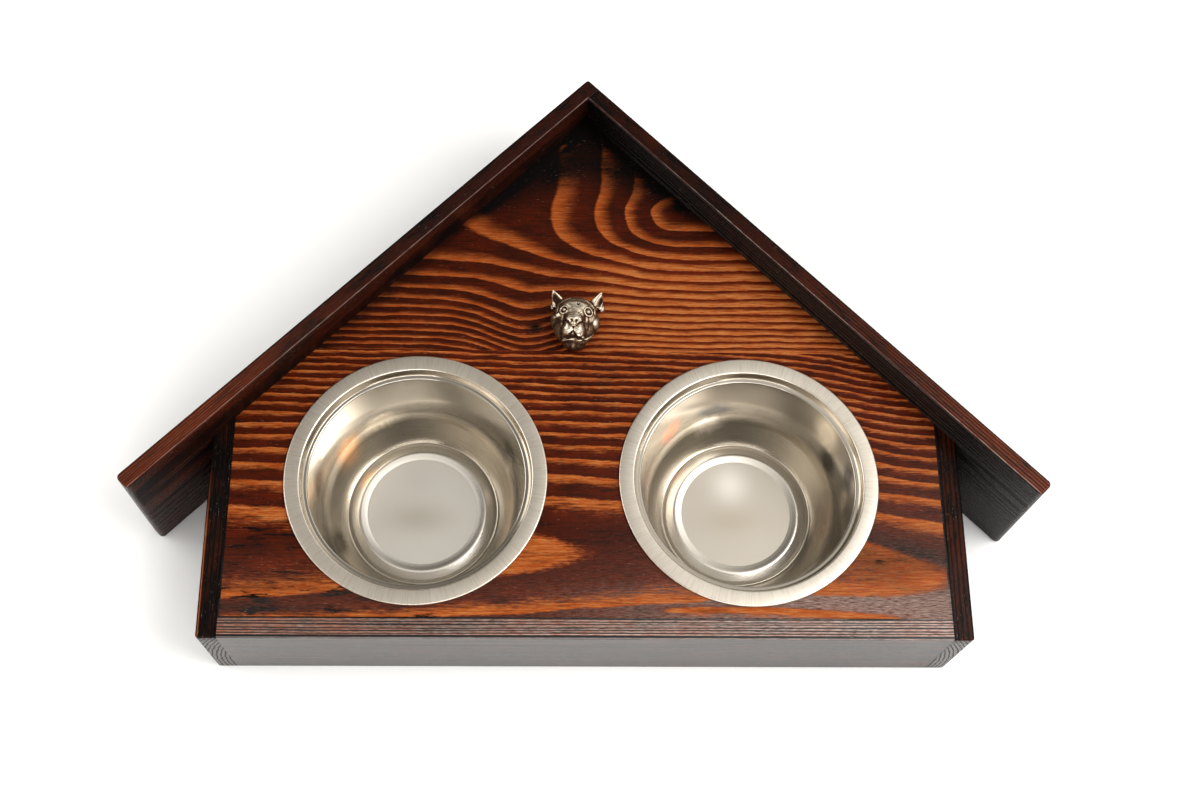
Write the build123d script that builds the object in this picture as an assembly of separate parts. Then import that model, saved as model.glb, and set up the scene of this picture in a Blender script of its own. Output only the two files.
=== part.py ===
import os
from dataclasses import dataclass
from math import cos, radians, sin, tan

from build123d import *

# House-shaped raised feeder: a five-sided box of pine boards on edge, an inset top panel that
# holds two lift-out steel bowls, and two roof boards that rise above the panel and run past the
# side walls. Millimetres. X runs across, Y from the front wall to the ridge, Z up from the floor.

# Timber
wall_stock = 16.0  # front wall and side walls
roof_stock = 14.0  # roof boards
panel_stock = 16.0  # top panel boards
cleat_side = 16.0  # square cleats under the panel
arris = 1.5  # rounding of long edges that show
corner_round = 2.5  # rounding of upright outer corners
eave_round = 4.0  # rounding of the roof boards' free ends

# Feeding bowls, spun from sheet steel
sheet = 0.8
rim_r = 104.5
rim_width = 12.0  # flat ring, from its outer edge to the lip
rim_height = 2.5  # above the panel
hem_width = 6.5  # turned-under edge that rests on the panel
lip_round = 1.2
neck_depth = 5.0  # from the panel's top down to the shoulder
neck_taper = 2.4
shoulder_width = 3.2
shoulder_round = 0.9
belly_r = 80.0  # where the side wall turns in
belly_depth = 68.0
belly_round = 28.0
base_r = 63.0  # the foot circle, the bowl's lowest line
base_round = 1.6
kick_r = 46.5  # raised round middle of the bottom
kick_rise = 5.0
kick_round = 4.0
bowl_drop = 92.0  # from the panel's top down to the foot circle

# Layout around the bowls
bowl_gap = 57.0  # between the two rims
bowl_offset = -4.0  # the pair sits a little left of centre
bowl_side_gap = 36.0  # from a bowl's hole to the nearer side cleat
bowl_front_gap = 3.0  # from a bowl's hole to the front cleat
bowl_floor_gap = 8.0  # under a bowl
bowl_rear_run = 33.0  # from the bowls' centres to the rear end of a side wall
seam_web = 16.0  # wood between a bowl's hole and the seam of the panel boards
hole_clearance = 2.5  # round a bowl's lip

# Roof
pitch = radians(45)
roof_rise = 32.0  # above the panel
eave_overhang = 91.7  # along the slope, past a side wall

# Fastenings
dowel_r = 3.0
dowel_length = 30.0
dowel_skin = 5.0  # wood left over the end of a dowel
panel_dowel_count = 4
corner_dowel_count = 2
ridge_dowel_count = 3
screw_r = 1.75
screw_head_r = 3.5
screw_head_height = 2.2
screw_tip = 4.0
screw_point_r = 0.4
screw_bite = 9.0  # into the board behind a cleat
nail_r = 1.0
nail_length = 50.0
nail_set = 4.0  # from the roof board's outer face down to a nail's head
nail_count = 3
front_cleat_screws = 4  # into the wall behind the cleat; one fewer goes up into the panel
side_cleat_screws = 2
roof_cleat_screws = 4
glue_gap = 0.1  # round a dowel, screw or nail
end_gap = 0.5  # beyond the end of one

# Floor bumpers
foot_height = 2.0
foot_margin = 1.0  # from a bumper's edge to the edge of the board above it
foot_inset = 22.0  # from a board's end to a bumper's centre

# Knob: a cast dog's head on a short round neck, held by a screw from below
knob_x = -9.5
knob_seam_gap = 18.0  # from the panel's seam to the knob's screw
knob_turn = -6.0  # degrees about its screw
knob_neck_r = 14.0
knob_neck_height = 6.0
knob_screw_r = 2.0
knob_screw_bite = 9.0
knob_screw_gap = 0.25  # round the screw in the panel
thread_gap = 0.05  # round the screw in the knob
washer_r = 6.0
washer_thickness = 1.0
pan_head_r = 4.0
pan_head_height = 2.6

# The head's rounded forms: centre and half sizes, with the crown towards +Y and the face up
head_forms = {
    "skull": ((0, 6, 15), (17.5, 16, 12)),
    "jowls": ((0, -6, 14), (16, 15, 10)),
    "left_cheek": ((-13, 2, 11), (8, 10, 8)),
    "right_cheek": ((13, 2, 11), (8, 10, 8)),
    "brow": ((0, 5, 22), (12.5, 8, 6)),
    "muzzle": ((0, -9, 24), (8.5, 8, 11)),
    "left_flew": ((-4.5, -13, 23), (6, 7, 9)),
    "right_flew": ((4.5, -13, 23), (6, 7, 9)),
    "nose": ((0, -8, 34), (4.6, 3.4, 2.6)),
    "chin": ((0, -16, 14), (9, 8, 9)),
    "left_eye": ((-10.5, 5, 25), (3.2, 3.0, 2.6)),
    "right_eye": ((10.5, 5, 25), (3.2, 3.0, 2.6)),
    "left_ear_lobe": ((-19, 15, 10), (3.4, 3.6, 3.4)),
    "right_ear_lobe": ((19, 15, 10), (3.4, 3.6, 3.4)),
}
ear_root = (14, 15, 15)
ear_tip = (19.5, 26, 21)
ear_root_r = 6.0
ear_tip_r = 1.0

# Worked out from the above
wall_height = bowl_drop + bowl_floor_gap - foot_height
panel_top = foot_height + wall_height
panel_bottom = panel_top - panel_stock
cleat_bottom = panel_bottom - cleat_side
roof_height = wall_height + roof_rise
lip_r = rim_r - rim_width
hole_r = lip_r + hole_clearance
bowl_pitch = 2 * rim_r + bowl_gap
bowl_y = wall_stock + cleat_side + bowl_front_gap + hole_r
inner_half = bowl_pitch / 2 + abs(bowl_offset) + hole_r + bowl_side_gap + cleat_side
outer_half = inner_half + wall_stock
seam_y = bowl_y + hole_r + seam_web
knob_y = seam_y + knob_seam_gap
ridge_inner_y = bowl_y + bowl_rear_run + outer_half * tan(pitch)
ridge_outer_y = ridge_inner_y + roof_stock / cos(pitch)
cleat_back = cleat_side / cos(pitch)
slope_length = outer_half / cos(pitch) + eave_overhang
depth = ridge_outer_y - corner_round * (1 / sin(pitch) - 1)
screw_length = cleat_side + screw_bite
foot_r = roof_stock / 2 - foot_margin

# Plan points and directions that several pieces share; the left half mirrors the right
up = Vector(0, 0, 1)
downslope = Vector(cos(pitch), -sin(pitch))
outward = Vector(sin(pitch), cos(pitch))
peak = Vector(0, ridge_outer_y)
ridge = Vector(0, ridge_inner_y)
ridge_joint = ridge + Vector(cos(pitch), sin(pitch)) * (roof_stock / sin(2 * pitch))
eave_outer = peak + downslope * slope_length
eave_inner = eave_outer - outward * roof_stock
bowl_xs = {"left_bowl": bowl_offset - bowl_pitch / 2, "right_bowl": bowl_offset + bowl_pitch / 2}
hands = {"left": -1, "right": 1}


def roof_inner_y(x):
    """Where the roof boards' inner faces lie at x."""
    return ridge_inner_y - abs(x) * tan(pitch)


def handed(hand, *points):
    """Right-hand points or directions, mirrored for the left hand."""
    return [Vector(hand * point.X, point.Y, point.Z) for point in points]


def plank(points, bottom, height):
    """A board with this outline in plan."""
    return Pos(0, 0, bottom) * extrude(make_face(Polyline(*points, close=True)), height)


def upright_edges(board, *spots):
    """The upright edges nearest to these plan points."""
    edges = board.edges().filter_by(Axis.Z)
    return [edges.sort_by_distance((spot.X, spot.Y, board.center().Z))[0] for spot in spots]


def top_edges(board, *spots):
    """The edges round the top that pass nearest to these plan points."""
    top = board.faces().sort_by(Axis.Z)[-1]
    return [top.edges().sort_by_distance((spot.X, spot.Y, top.center().Z))[0] for spot in spots]


def spread(count, start, end):
    """Evenly spaced places from start to end, half a step in from both."""
    return [start + (end - start) * ((i + 0.5) / count) for i in range(count)]


def aimed(shape, point, direction):
    """A shape made from the origin up Z, set at a point and turned to a direction."""
    return Plane(origin=point, z_dir=direction).location * shape


def turned(points):
    """A solid of revolution about Z from its half outline."""
    outline = make_face(Polyline(*points, close=True))
    return Rot(90, 0, 0) * revolve(outline, axis=Axis.Y)


def rod(radius, length):
    return turned([(0, 0), (radius, 0), (radius, length), (0, length)])


def rod_hole(radius, length, gap):
    """The hole for a rod, a little wider all round and longer at both ends."""
    return Pos(0, 0, -end_gap) * rod(radius + gap, length + 2 * end_gap)


def bored(board, *hole_sets):
    """A board with holes cut one after another."""
    for hole in (hole for holes in hole_sets for hole in holes):
        board -= hole
    return board


def on_panel(shape, x, y):
    return Pos(x, y, panel_top) * shape


# --- Bowls ---


def bowl():
    """A spun bowl with its hem resting on z = 0."""
    half = sheet / 2
    rim_z = rim_height - half
    rim_edge_r = rim_r - half
    hem_round = (rim_z - half) / 2
    neck_r = lip_r - neck_taper
    base_z = half - bowl_drop
    kick_z = base_z + kick_rise
    bends = [
        (rim_edge_r, half, hem_round),
        (rim_edge_r, rim_z, hem_round),
        (lip_r, rim_z, lip_round),
        (neck_r, -neck_depth, shoulder_round),
        (neck_r - shoulder_width, -neck_depth, shoulder_round),
        (belly_r, -belly_depth, belly_round),
        (base_r, base_z, base_round),
        (kick_r, kick_z, kick_round),
    ]
    corners = [(r, z) for r, z, _ in bends]
    rounds = [bend for _, _, bend in bends]
    line = FilletPolyline((rim_r - hem_width, half), *corners, (0, kick_z), radius=rounds)
    return Rot(90, 0, 0) * revolve(trace(line, sheet), axis=Axis.Y)


# --- Cleats: square battens behind the walls that carry the panel ---


@dataclass
class CleatRun:
    """A cleat's outline in plan, its centre line, the way to its wall, and its screws."""

    outline: list
    start: Vector
    end: Vector
    toward: Vector
    screws: int

    def places(self, count):
        return [self.start + (self.end - self.start) * t for t in spread(count, 0, 1)]


def front_cleat():
    front_y = wall_stock + cleat_side
    middle_y = wall_stock + cleat_side / 2
    outline = [
        Vector(-inner_half, wall_stock),
        Vector(inner_half, wall_stock),
        Vector(inner_half, front_y),
        Vector(-inner_half, front_y),
    ]
    ends = (Vector(-inner_half, middle_y), Vector(inner_half, middle_y))
    return CleatRun(outline, *ends, Vector(0, -1), front_cleat_screws)


def side_cleat(hand):
    front_y = wall_stock + cleat_side
    inner = inner_half - cleat_side
    middle = inner_half - cleat_side / 2
    outline = [
        Vector(inner_half, front_y),
        Vector(inner, front_y),
        Vector(inner, roof_inner_y(inner) - cleat_back),
        Vector(inner_half, roof_inner_y(inner_half) - cleat_back),
    ]
    ends = [Vector(middle, front_y), Vector(middle, roof_inner_y(middle) - cleat_back)]
    return CleatRun(handed(hand, *outline), *handed(hand, *ends), Vector(hand, 0), side_cleat_screws)


def roof_cleat(hand):
    wall_end = Vector(inner_half, roof_inner_y(inner_half))
    back = Vector(0, cleat_back)
    outline = [wall_end, ridge, ridge - back, wall_end - back]
    ends = [wall_end - back / 2, ridge - back / 2]
    return CleatRun(handed(hand, *outline), *handed(hand, *ends), *handed(hand, outward), roof_cleat_screws)


cleats = {"front_cleat": front_cleat()}
for name, hand in hands.items():
    cleats[f"{name}_side_cleat"] = side_cleat(hand)
    cleats[f"{name}_roof_cleat"] = roof_cleat(hand)


# --- Fastenings: each function sets its shape, a piece or its hole, at every place it goes ---


def wood_screw(gap, room):
    """A countersunk screw, head at the origin, pointing up Z."""
    outline = [
        (0, 0),
        (screw_head_r + gap, 0),
        (screw_r + gap, screw_head_height),
        (screw_r + gap, screw_length - screw_tip),
        (screw_point_r + gap, screw_length + room),
        (0, screw_length + room),
    ]
    return turned(outline)


def cleat_screws(shape):
    """Screws through every cleat into the wall behind it."""
    middle = up * (panel_bottom - cleat_side / 2)
    return [
        aimed(shape, place + middle - run.toward * (cleat_side / 2), run.toward)
        for run in cleats.values()
        for place in run.places(run.screws)
    ]


def panel_screws(shape):
    """Screws up through every cleat into the panel."""
    return [
        aimed(shape, place + up * cleat_bottom, up)
        for run in cleats.values()
        for place in run.places(run.screws - 1)
    ]


def panel_dowels(shape):
    """Dowels across the seam of the panel boards."""
    seam_half = (ridge_inner_y - seam_y) / tan(pitch)
    start = Vector(0, seam_y - dowel_length / 2, panel_top - panel_stock / 2)
    places = spread(panel_dowel_count, -seam_half, seam_half)
    return [aimed(shape, start + Vector(x, 0), Vector(0, 1)) for x in places]


def corner_dowels(shape):
    """Dowels from the side walls into the ends of the front wall."""
    start = Vector(outer_half - dowel_skin, wall_stock / 2)
    heights = spread(corner_dowel_count, foot_height, panel_top)
    return [
        aimed(shape, Vector(hand * start.X, start.Y, z), Vector(-hand, 0))
        for hand in hands.values()
        for z in heights
    ]


def ridge_dowels(shape):
    """Dowels from the left roof board into the end of the right one."""
    start = (ridge + ridge_joint) / 2 - downslope * (roof_stock - dowel_skin)
    heights = spread(ridge_dowel_count, foot_height, foot_height + roof_height)
    return [aimed(shape, start + up * z, downslope) for z in heights]


def eave_nails(shape):
    """Nails through the roof boards along the side walls."""
    x = outer_half - wall_stock / 2
    y = roof_inner_y(x) + (roof_stock - nail_set) / cos(pitch)
    heights = spread(nail_count, foot_height, panel_top)
    return [
        aimed(shape, Vector(hand * x, y, z), Vector(0, -1)) for hand in hands.values() for z in heights
    ]


def bumper_feet():
    """Low rubber pads under the ends of the side walls and of both roof boards."""
    middle = outward * (roof_stock / 2)
    spots = [
        Vector(outer_half - wall_stock / 2, foot_inset),
        eave_inner + middle - downslope * foot_inset,
        ridge + middle + downslope * foot_inset,
    ]
    pad = rod(foot_r, foot_height)
    return [Location(spot) * pad for hand in hands.values() for spot in handed(hand, *spots)]


dowel_hole = rod_hole(dowel_r, dowel_length, glue_gap)
nail_hole = rod_hole(nail_r, nail_length, glue_gap)
screw_hole = wood_screw(glue_gap, end_gap)
corner_holes = corner_dowels(dowel_hole)
ridge_holes = ridge_dowels(dowel_hole)
seam_holes = panel_dowels(dowel_hole)
nail_holes = eave_nails(nail_hole)
cleat_holes = cleat_screws(screw_hole)
panel_holes = panel_screws(screw_hole)


# --- Boards ---


def front_wall():
    outline = [
        Vector(-inner_half, 0),
        Vector(inner_half, 0),
        Vector(inner_half, wall_stock),
        Vector(-inner_half, wall_stock),
    ]
    board = plank(outline, foot_height, wall_height)
    board = fillet(top_edges(board, Vector(0, 0)), arris)
    return bored(board, corner_holes, cleat_holes)


def side_wall(hand):
    outline = [
        Vector(inner_half, 0),
        Vector(outer_half, 0),
        Vector(outer_half, roof_inner_y(outer_half)),
        Vector(inner_half, roof_inner_y(inner_half)),
    ]
    corner = Vector(outer_half, 0)
    free_edges = [Vector(outer_half - wall_stock / 2, 0), Vector(outer_half, bowl_y), corner]
    board = plank(handed(hand, *outline), foot_height, wall_height)
    board = fillet(upright_edges(board, *handed(hand, corner)), corner_round)
    board = fillet(top_edges(board, *handed(hand, *free_edges)), arris)
    return bored(board, corner_holes, cleat_holes, nail_holes)


def roof_board(outline, hand, rounded):
    """A roof board with these upright corners and its free top edges rounded."""
    board = plank(outline, foot_height, roof_height)
    for corner, radius in rounded:
        board = fillet(upright_edges(board, corner), radius)
    outer_middle = (peak + eave_outer) / 2
    inner_middle = outer_middle - outward * roof_stock
    eave_middle = (eave_outer + eave_inner) / 2
    sides = handed(hand, outer_middle, inner_middle, eave_middle)
    board = fillet(top_edges(board, *sides, *[corner for corner, _ in rounded]), arris)
    return bored(board, ridge_holes, nail_holes, cleat_holes)


def left_roof_board():
    """The board that runs on to the peak, past the end of the other one."""
    outer, inner = handed(-1, eave_outer, eave_inner)
    corners = [(outer, eave_round), (inner, eave_round), (peak, corner_round)]
    return roof_board([peak, outer, inner, ridge_joint], -1, corners)


def right_roof_board():
    corners = [(eave_outer, eave_round), (eave_inner, eave_round)]
    return roof_board([ridge, ridge_joint, eave_outer, eave_inner], 1, corners)


def panel_front_board():
    seam_half = (ridge_inner_y - seam_y) / tan(pitch)
    right = [
        Vector(inner_half, wall_stock),
        Vector(inner_half, roof_inner_y(inner_half)),
        Vector(seam_half, seam_y),
    ]
    board = plank([*right, *reversed(handed(-1, *right))], panel_bottom, panel_stock)
    bowl_holes = [Pos(x, bowl_y, panel_bottom) * rod(hole_r, panel_stock) for x in bowl_xs.values()]
    return bored(board, bowl_holes, seam_holes, panel_holes)


def panel_rear_board():
    seam_half = (ridge_inner_y - seam_y) / tan(pitch)
    board = plank([Vector(-seam_half, seam_y), Vector(seam_half, seam_y), ridge], panel_bottom, panel_stock)
    way = Pos(0, 0, -panel_stock) * rod_hole(knob_screw_r, panel_stock, knob_screw_gap)
    return bored(board, [on_panel(way, knob_x, knob_y)], seam_holes, panel_holes)


def cleat(run):
    return bored(plank(run.outline, cleat_bottom, cleat_side), cleat_holes, panel_holes)


# --- Knob ---


def ear(hand):
    root = Vector(hand * ear_root[0], *ear_root[1:])
    tip = Vector(hand * ear_tip[0], *ear_tip[1:])
    length = (tip - root).length
    horn = turned([(0, 0), (ear_root_r, 0), (ear_tip_r, length), (0, length)])
    return aimed(horn, root, tip - root)


def dog_head_knob():
    head = rod(knob_neck_r, knob_neck_height)
    for centre, sizes in head_forms.values():
        head += Pos(*centre) * scale(Sphere(1), by=sizes)
    for hand in hands.values():
        head += ear(hand)
    below = Pos(0, 0, -knob_neck_r) * Cylinder(4 * knob_neck_r, 2 * knob_neck_r)
    thread = rod_hole(knob_screw_r, knob_screw_bite, thread_gap)
    return on_panel(Rot(0, 0, knob_turn) * (head - below - thread), knob_x, knob_y)


def knob_screw():
    """A pan-head screw that comes up through the washer and the panel."""
    seat_z = -panel_stock - washer_thickness
    outline = [
        (0, seat_z - pan_head_height),
        (pan_head_r, seat_z - pan_head_height),
        (pan_head_r, seat_z),
        (knob_screw_r, seat_z),
        (knob_screw_r, knob_screw_bite),
        (0, knob_screw_bite),
    ]
    return on_panel(turned(outline), knob_x, knob_y)


def knob_washer():
    ring = rod(washer_r, washer_thickness) - rod_hole(knob_screw_r, washer_thickness, knob_screw_gap)
    return on_panel(Pos(0, 0, -panel_stock - washer_thickness) * ring, knob_x, knob_y)


# --- Writing the parts, with the origin under the middle of the whole ---

dowel = rod(dowel_r, dowel_length)
screw = wood_screw(0, 0)
parts = {
    "front_wall": front_wall(),
    "left_side_wall": side_wall(-1),
    "right_side_wall": side_wall(1),
    "left_roof_board": left_roof_board(),
    "right_roof_board": right_roof_board(),
    "panel_front_board": panel_front_board(),
    "panel_rear_board": panel_rear_board(),
    **{name: cleat(run) for name, run in cleats.items()},
    "front_corner_dowels": corner_dowels(dowel),
    "ridge_dowels": ridge_dowels(dowel),
    "panel_seam_dowels": panel_dowels(dowel),
    "eave_nails": eave_nails(rod(nail_r, nail_length)),
    "cleat_to_wall_screws": cleat_screws(screw),
    "cleat_to_panel_screws": panel_screws(screw),
    **{name: on_panel(bowl(), x, bowl_y) for name, x in bowl_xs.items()},
    "dog_head_knob": dog_head_knob(),
    "knob_screw": knob_screw(),
    "knob_washer": knob_washer(),
    "bumper_feet": bumper_feet(),
}

os.makedirs("parts", exist_ok=True)
for name, shape in parts.items():
    piece = Part() + shape if isinstance(shape, list) else shape
    export_step(Pos(0, -depth / 2, 0) * piece, f"parts/{name}.step")
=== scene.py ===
import math

import bmesh
import bpy
from mathutils import Matrix, Vector, noise


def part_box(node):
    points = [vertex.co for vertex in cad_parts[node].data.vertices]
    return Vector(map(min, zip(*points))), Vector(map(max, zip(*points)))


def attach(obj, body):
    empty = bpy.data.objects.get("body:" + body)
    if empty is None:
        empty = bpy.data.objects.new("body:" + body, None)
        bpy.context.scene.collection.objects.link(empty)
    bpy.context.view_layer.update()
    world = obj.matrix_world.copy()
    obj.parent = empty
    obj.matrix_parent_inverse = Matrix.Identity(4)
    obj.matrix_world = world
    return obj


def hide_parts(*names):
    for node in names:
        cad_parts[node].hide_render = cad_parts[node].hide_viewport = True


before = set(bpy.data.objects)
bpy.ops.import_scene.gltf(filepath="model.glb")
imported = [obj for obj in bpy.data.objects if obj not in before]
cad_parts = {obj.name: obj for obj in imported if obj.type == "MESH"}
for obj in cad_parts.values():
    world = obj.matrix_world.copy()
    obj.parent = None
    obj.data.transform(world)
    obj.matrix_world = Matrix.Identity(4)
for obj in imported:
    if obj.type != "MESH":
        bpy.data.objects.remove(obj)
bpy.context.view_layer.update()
mm = 0.001
shiftY = 240.8817  # from the frame's origin to the front wall's outer face, mm
ridgeShift = 171.06  # from the frame's origin to the ridge's corner before rounding, along a roof board, mm


class Wire:  # one socket's value, so that sums can be written as sums
    def __init__(self, finish, socket):
        self.finish = finish
        self.socket = socket

    def math(self, operation, *values):
        return self.finish.node("ShaderNodeMath", {"operation": operation}, dict(enumerate(values)))

    def __add__(self, other):
        return self.math("ADD", self, other)

    def __sub__(self, other):
        return self.math("SUBTRACT", self, other)

    def __rsub__(self, other):
        return self.math("SUBTRACT", other, self)

    def __mul__(self, other):
        return self.math("MULTIPLY", self, other)

    def __truediv__(self, other):
        return self.math("DIVIDE", self, other)

    def __pow__(self, other):
        return self.math("POWER", self, other)

    def __neg__(self):
        return self.math("MULTIPLY", self, -1.0)

    __radd__ = __add__
    __rmul__ = __mul__

    def fract(self):
        return self.math("FRACT", self)

    def share(self):  # kept between 0 and 1
        return self.math("MAXIMUM", self.math("MINIMUM", self, 1.0), 0.0)

    def above(self, low):
        return self.math("MAXIMUM", self, low)

    def tanh(self):
        return self.math("TANH", self)

    def exp(self):
        return self.math("EXPONENT", self)

    def size(self):
        return self.math("ABSOLUTE", self)

    def step(self, start, end):  # smooth 0 to 1 between two values
        return self.finish.node(
            "ShaderNodeMapRange", {"interpolation_type": "SMOOTHSTEP"}, {0: self, 1: start, 2: end}
        )

    def hump(self, middle, width):  # 1 at the middle, 0 far away
        away = (self - middle) / width
        return (-(away * away)).exp()


class Finish:  # one material and its nodes
    def __init__(self, name):
        self.material = bpy.data.materials.new(name)
        self.material.use_nodes = True
        self.tree = self.material.node_tree
        self.tree.nodes.clear()
        self.place = self.node("ShaderNodeTexCoord", output="Object")

    def node(self, kind, settings=None, sockets=None, output=0):
        made = self.tree.nodes.new(kind)
        for key, value in (settings or {}).items():
            setattr(made, key, value)
        for key, value in (sockets or {}).items():
            if isinstance(value, Wire):
                self.tree.links.new(value.socket, made.inputs[key])
            else:
                made.inputs[key].default_value = value
        return Wire(self, made.outputs[output])

    def mapped(self, location, turn=0.0):  # the pattern's own millimetres
        sockets = {0: self.place, 1: location, 2: (0.0, 0.0, turn), 3: (1 / mm, 1 / mm, 1 / mm)}
        return self.node("ShaderNodeMapping", {}, sockets)

    def axes(self, vector):
        split = self.node("ShaderNodeSeparateXYZ", {}, {0: vector}).socket.node
        return [Wire(self, socket) for socket in split.outputs]

    def vector(self, x, y, z):
        return self.node("ShaderNodeCombineXYZ", {}, {0: x, 1: y, 2: z})

    def noise(self, vector, cell, detail=2.0, roughness=0.5):  # cell is a blotch's size along each axis
        stretch = tuple(1.0 / side for side in cell)
        scaled = self.node("ShaderNodeVectorMath", {"operation": "MULTIPLY"}, {0: vector, 1: stretch})
        sockets = {"Vector": scaled, "Scale": 1.0, "Detail": detail, "Roughness": roughness}
        return self.node("ShaderNodeTexNoise", {}, sockets)

    def attribute(self, name):
        return self.node("ShaderNodeAttribute", {"attribute_name": name}, output="Fac")

    def mix(self, low, high, share):
        return self.node("ShaderNodeMix", {"data_type": "RGBA"}, {0: share, 6: low, 7: high}, 2)

    def bump(self, height, distance):
        return self.node("ShaderNodeBump", {}, {"Strength": 1.0, "Distance": distance, "Height": height})

    def surface(self, **sockets):
        named = {key.replace("_", " "): value for key, value in sockets.items()}
        shader = self.node("ShaderNodeBsdfPrincipled", {}, named)
        out = self.tree.nodes.new("ShaderNodeOutputMaterial")
        self.tree.links.new(shader.socket, out.inputs["Surface"])
        return self.material


def tint(code, lift=1.0):  # a screen colour such as b4622a, as the shader's linear colour
    parts = [int(code[i:i + 2], 16) / 255 for i in (0, 2, 4)]
    return tuple(min(1.0, lift * ((part + 0.055) / 1.055) ** 2.4) for part in parts) + (1.0,)


camera = {
    "place": (-0.04478, -0.52217, 1.29593), "turn": (21.8319, -2.4668, -0.3733), "lens": 47.475,
    "sensor": 36.0, "near": 0.05,
}
studio = {  # floor's side; the tent's brightness; its dark holes, where they lie and how they fade in
    "floor": 8.0, "walls": 1.06, "hole": 0.15, "holes": ((-0.35, 0.6, 0.72), (0.0, -0.7, 0.71)),
    "bright": 0.7, "dark": 0.93,
}
softboxes = {  # place, aim, sides, watts
    "leftBox": ((-1.6, 0.5, 1.2), (0.0, 0.0, 0.05), (1.2, 1.2), 9.0),
    "rightBox": ((1.25, -0.35, 1.95), (0.0, 0.0, 0.05), (1.4, 1.4), 26.0),
    "frontBox": ((0.1, -1.7, 1.1), (0.0, 0.0, 0.0), (1.6, 0.8), 15.0),
}


def makeCamera():
    data = bpy.data.cameras.new("camera")
    data.lens = camera["lens"]
    data.sensor_width = camera["sensor"]
    data.clip_start = camera["near"]
    holder = bpy.data.objects.new("camera", data)
    holder.location = camera["place"]
    holder.rotation_euler = [math.radians(angle) for angle in camera["turn"]]
    bpy.context.scene.collection.objects.link(holder)
    bpy.context.scene.camera = holder
    bpy.context.scene.view_settings.view_transform = "Standard"
    bpy.context.scene.view_settings.look = "Medium High Contrast"


def softbox(name, place, aim, sides, power):
    data = bpy.data.lights.new(name, "AREA")
    data.shape = "RECTANGLE"
    data.size, data.size_y = sides
    data.energy = power
    lamp = bpy.data.objects.new(name, data)
    lamp.location = place
    lamp.rotation_euler = (Vector(aim) - Vector(place)).to_track_quat("-Z", "Y").to_euler()
    bpy.context.scene.collection.objects.link(lamp)


def makeFloor():
    bm = bmesh.new()
    bmesh.ops.create_grid(bm, x_segments=1, y_segments=1, size=studio["floor"] / 2)
    mesh = bpy.data.meshes.new("floor")
    bm.to_mesh(mesh)
    bm.free()
    floor = bpy.data.objects.new("floor", mesh)
    bpy.context.scene.collection.objects.link(floor)
    paper = Finish("whitePaper")
    mottle = paper.noise(paper.mapped((0, 0, 0)), (40.0, 40.0, 40.0), 3.0)
    tone = paper.mix(tint("f9f9f8"), tint("fcfcfb"), mottle)
    mesh.materials.append(paper.surface(Base_Color=tone, Roughness=0.8))


def makeSky():  # a white tent, dark at the back and over the near side, so that the lacquer stays deep
    world = bpy.data.worlds.new("studio")
    world.use_nodes = True
    tree = world.node_tree
    direction = tree.nodes.new("ShaderNodeTexCoord")
    nearest = tree.nodes.new("ShaderNodeMath")
    nearest.operation = "MAXIMUM"
    for i, hole in enumerate(studio["holes"]):
        along = tree.nodes.new("ShaderNodeVectorMath")
        along.operation = "DOT_PRODUCT"
        along.inputs[1].default_value = hole
        tree.links.new(direction.outputs["Generated"], along.inputs[0])
        tree.links.new(along.outputs["Value"], nearest.inputs[i])
    ramp = tree.nodes.new("ShaderNodeValToRGB")
    tree.links.new(nearest.outputs[0], ramp.inputs[0])
    tree.links.new(ramp.outputs[0], tree.nodes["Background"].inputs[0])
    near, far = ramp.color_ramp.elements
    near.position, far.position = studio["bright"], studio["dark"]
    near.color = [studio["walls"] * part for part in (1.0, 0.985, 0.955)] + [1.0]
    far.color = [studio["hole"] * part for part in (1.0, 0.96, 0.9)] + [1.0]
    bpy.context.scene.world = world


makeCamera()
makeFloor()
makeSky()
for name, box in softboxes.items():
    softbox(name, *box)
print("studio set")


scorched = {  # screen colours of the lacquered wood, from the palest streak to charcoal; the pale grey is painted sheen, the mid grey ash and painted sheen
    "bright": "c98850", "orange": "a15021", "russet": "6a2406", "umber": "3c1606", "char": "0f0a08",
    "paintedSheen": "baa499", "ashAndPaintedSheen": "6f6a68", "lift": 0.82,
}
boards = {  # heights of the tops; out to the side walls; back to the roof's inner corner and the seam, mm
    "panelTop": 100.0, "roofTop": 132.0, "sideInner": 284.0, "sideMiddle": 292.0, "sideOuter": 300.0,
    "ridgeInner": 463.0, "seam": 241.0,
}


def shade(name):
    return tint(scorched[name], scorched["lift"])


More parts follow.
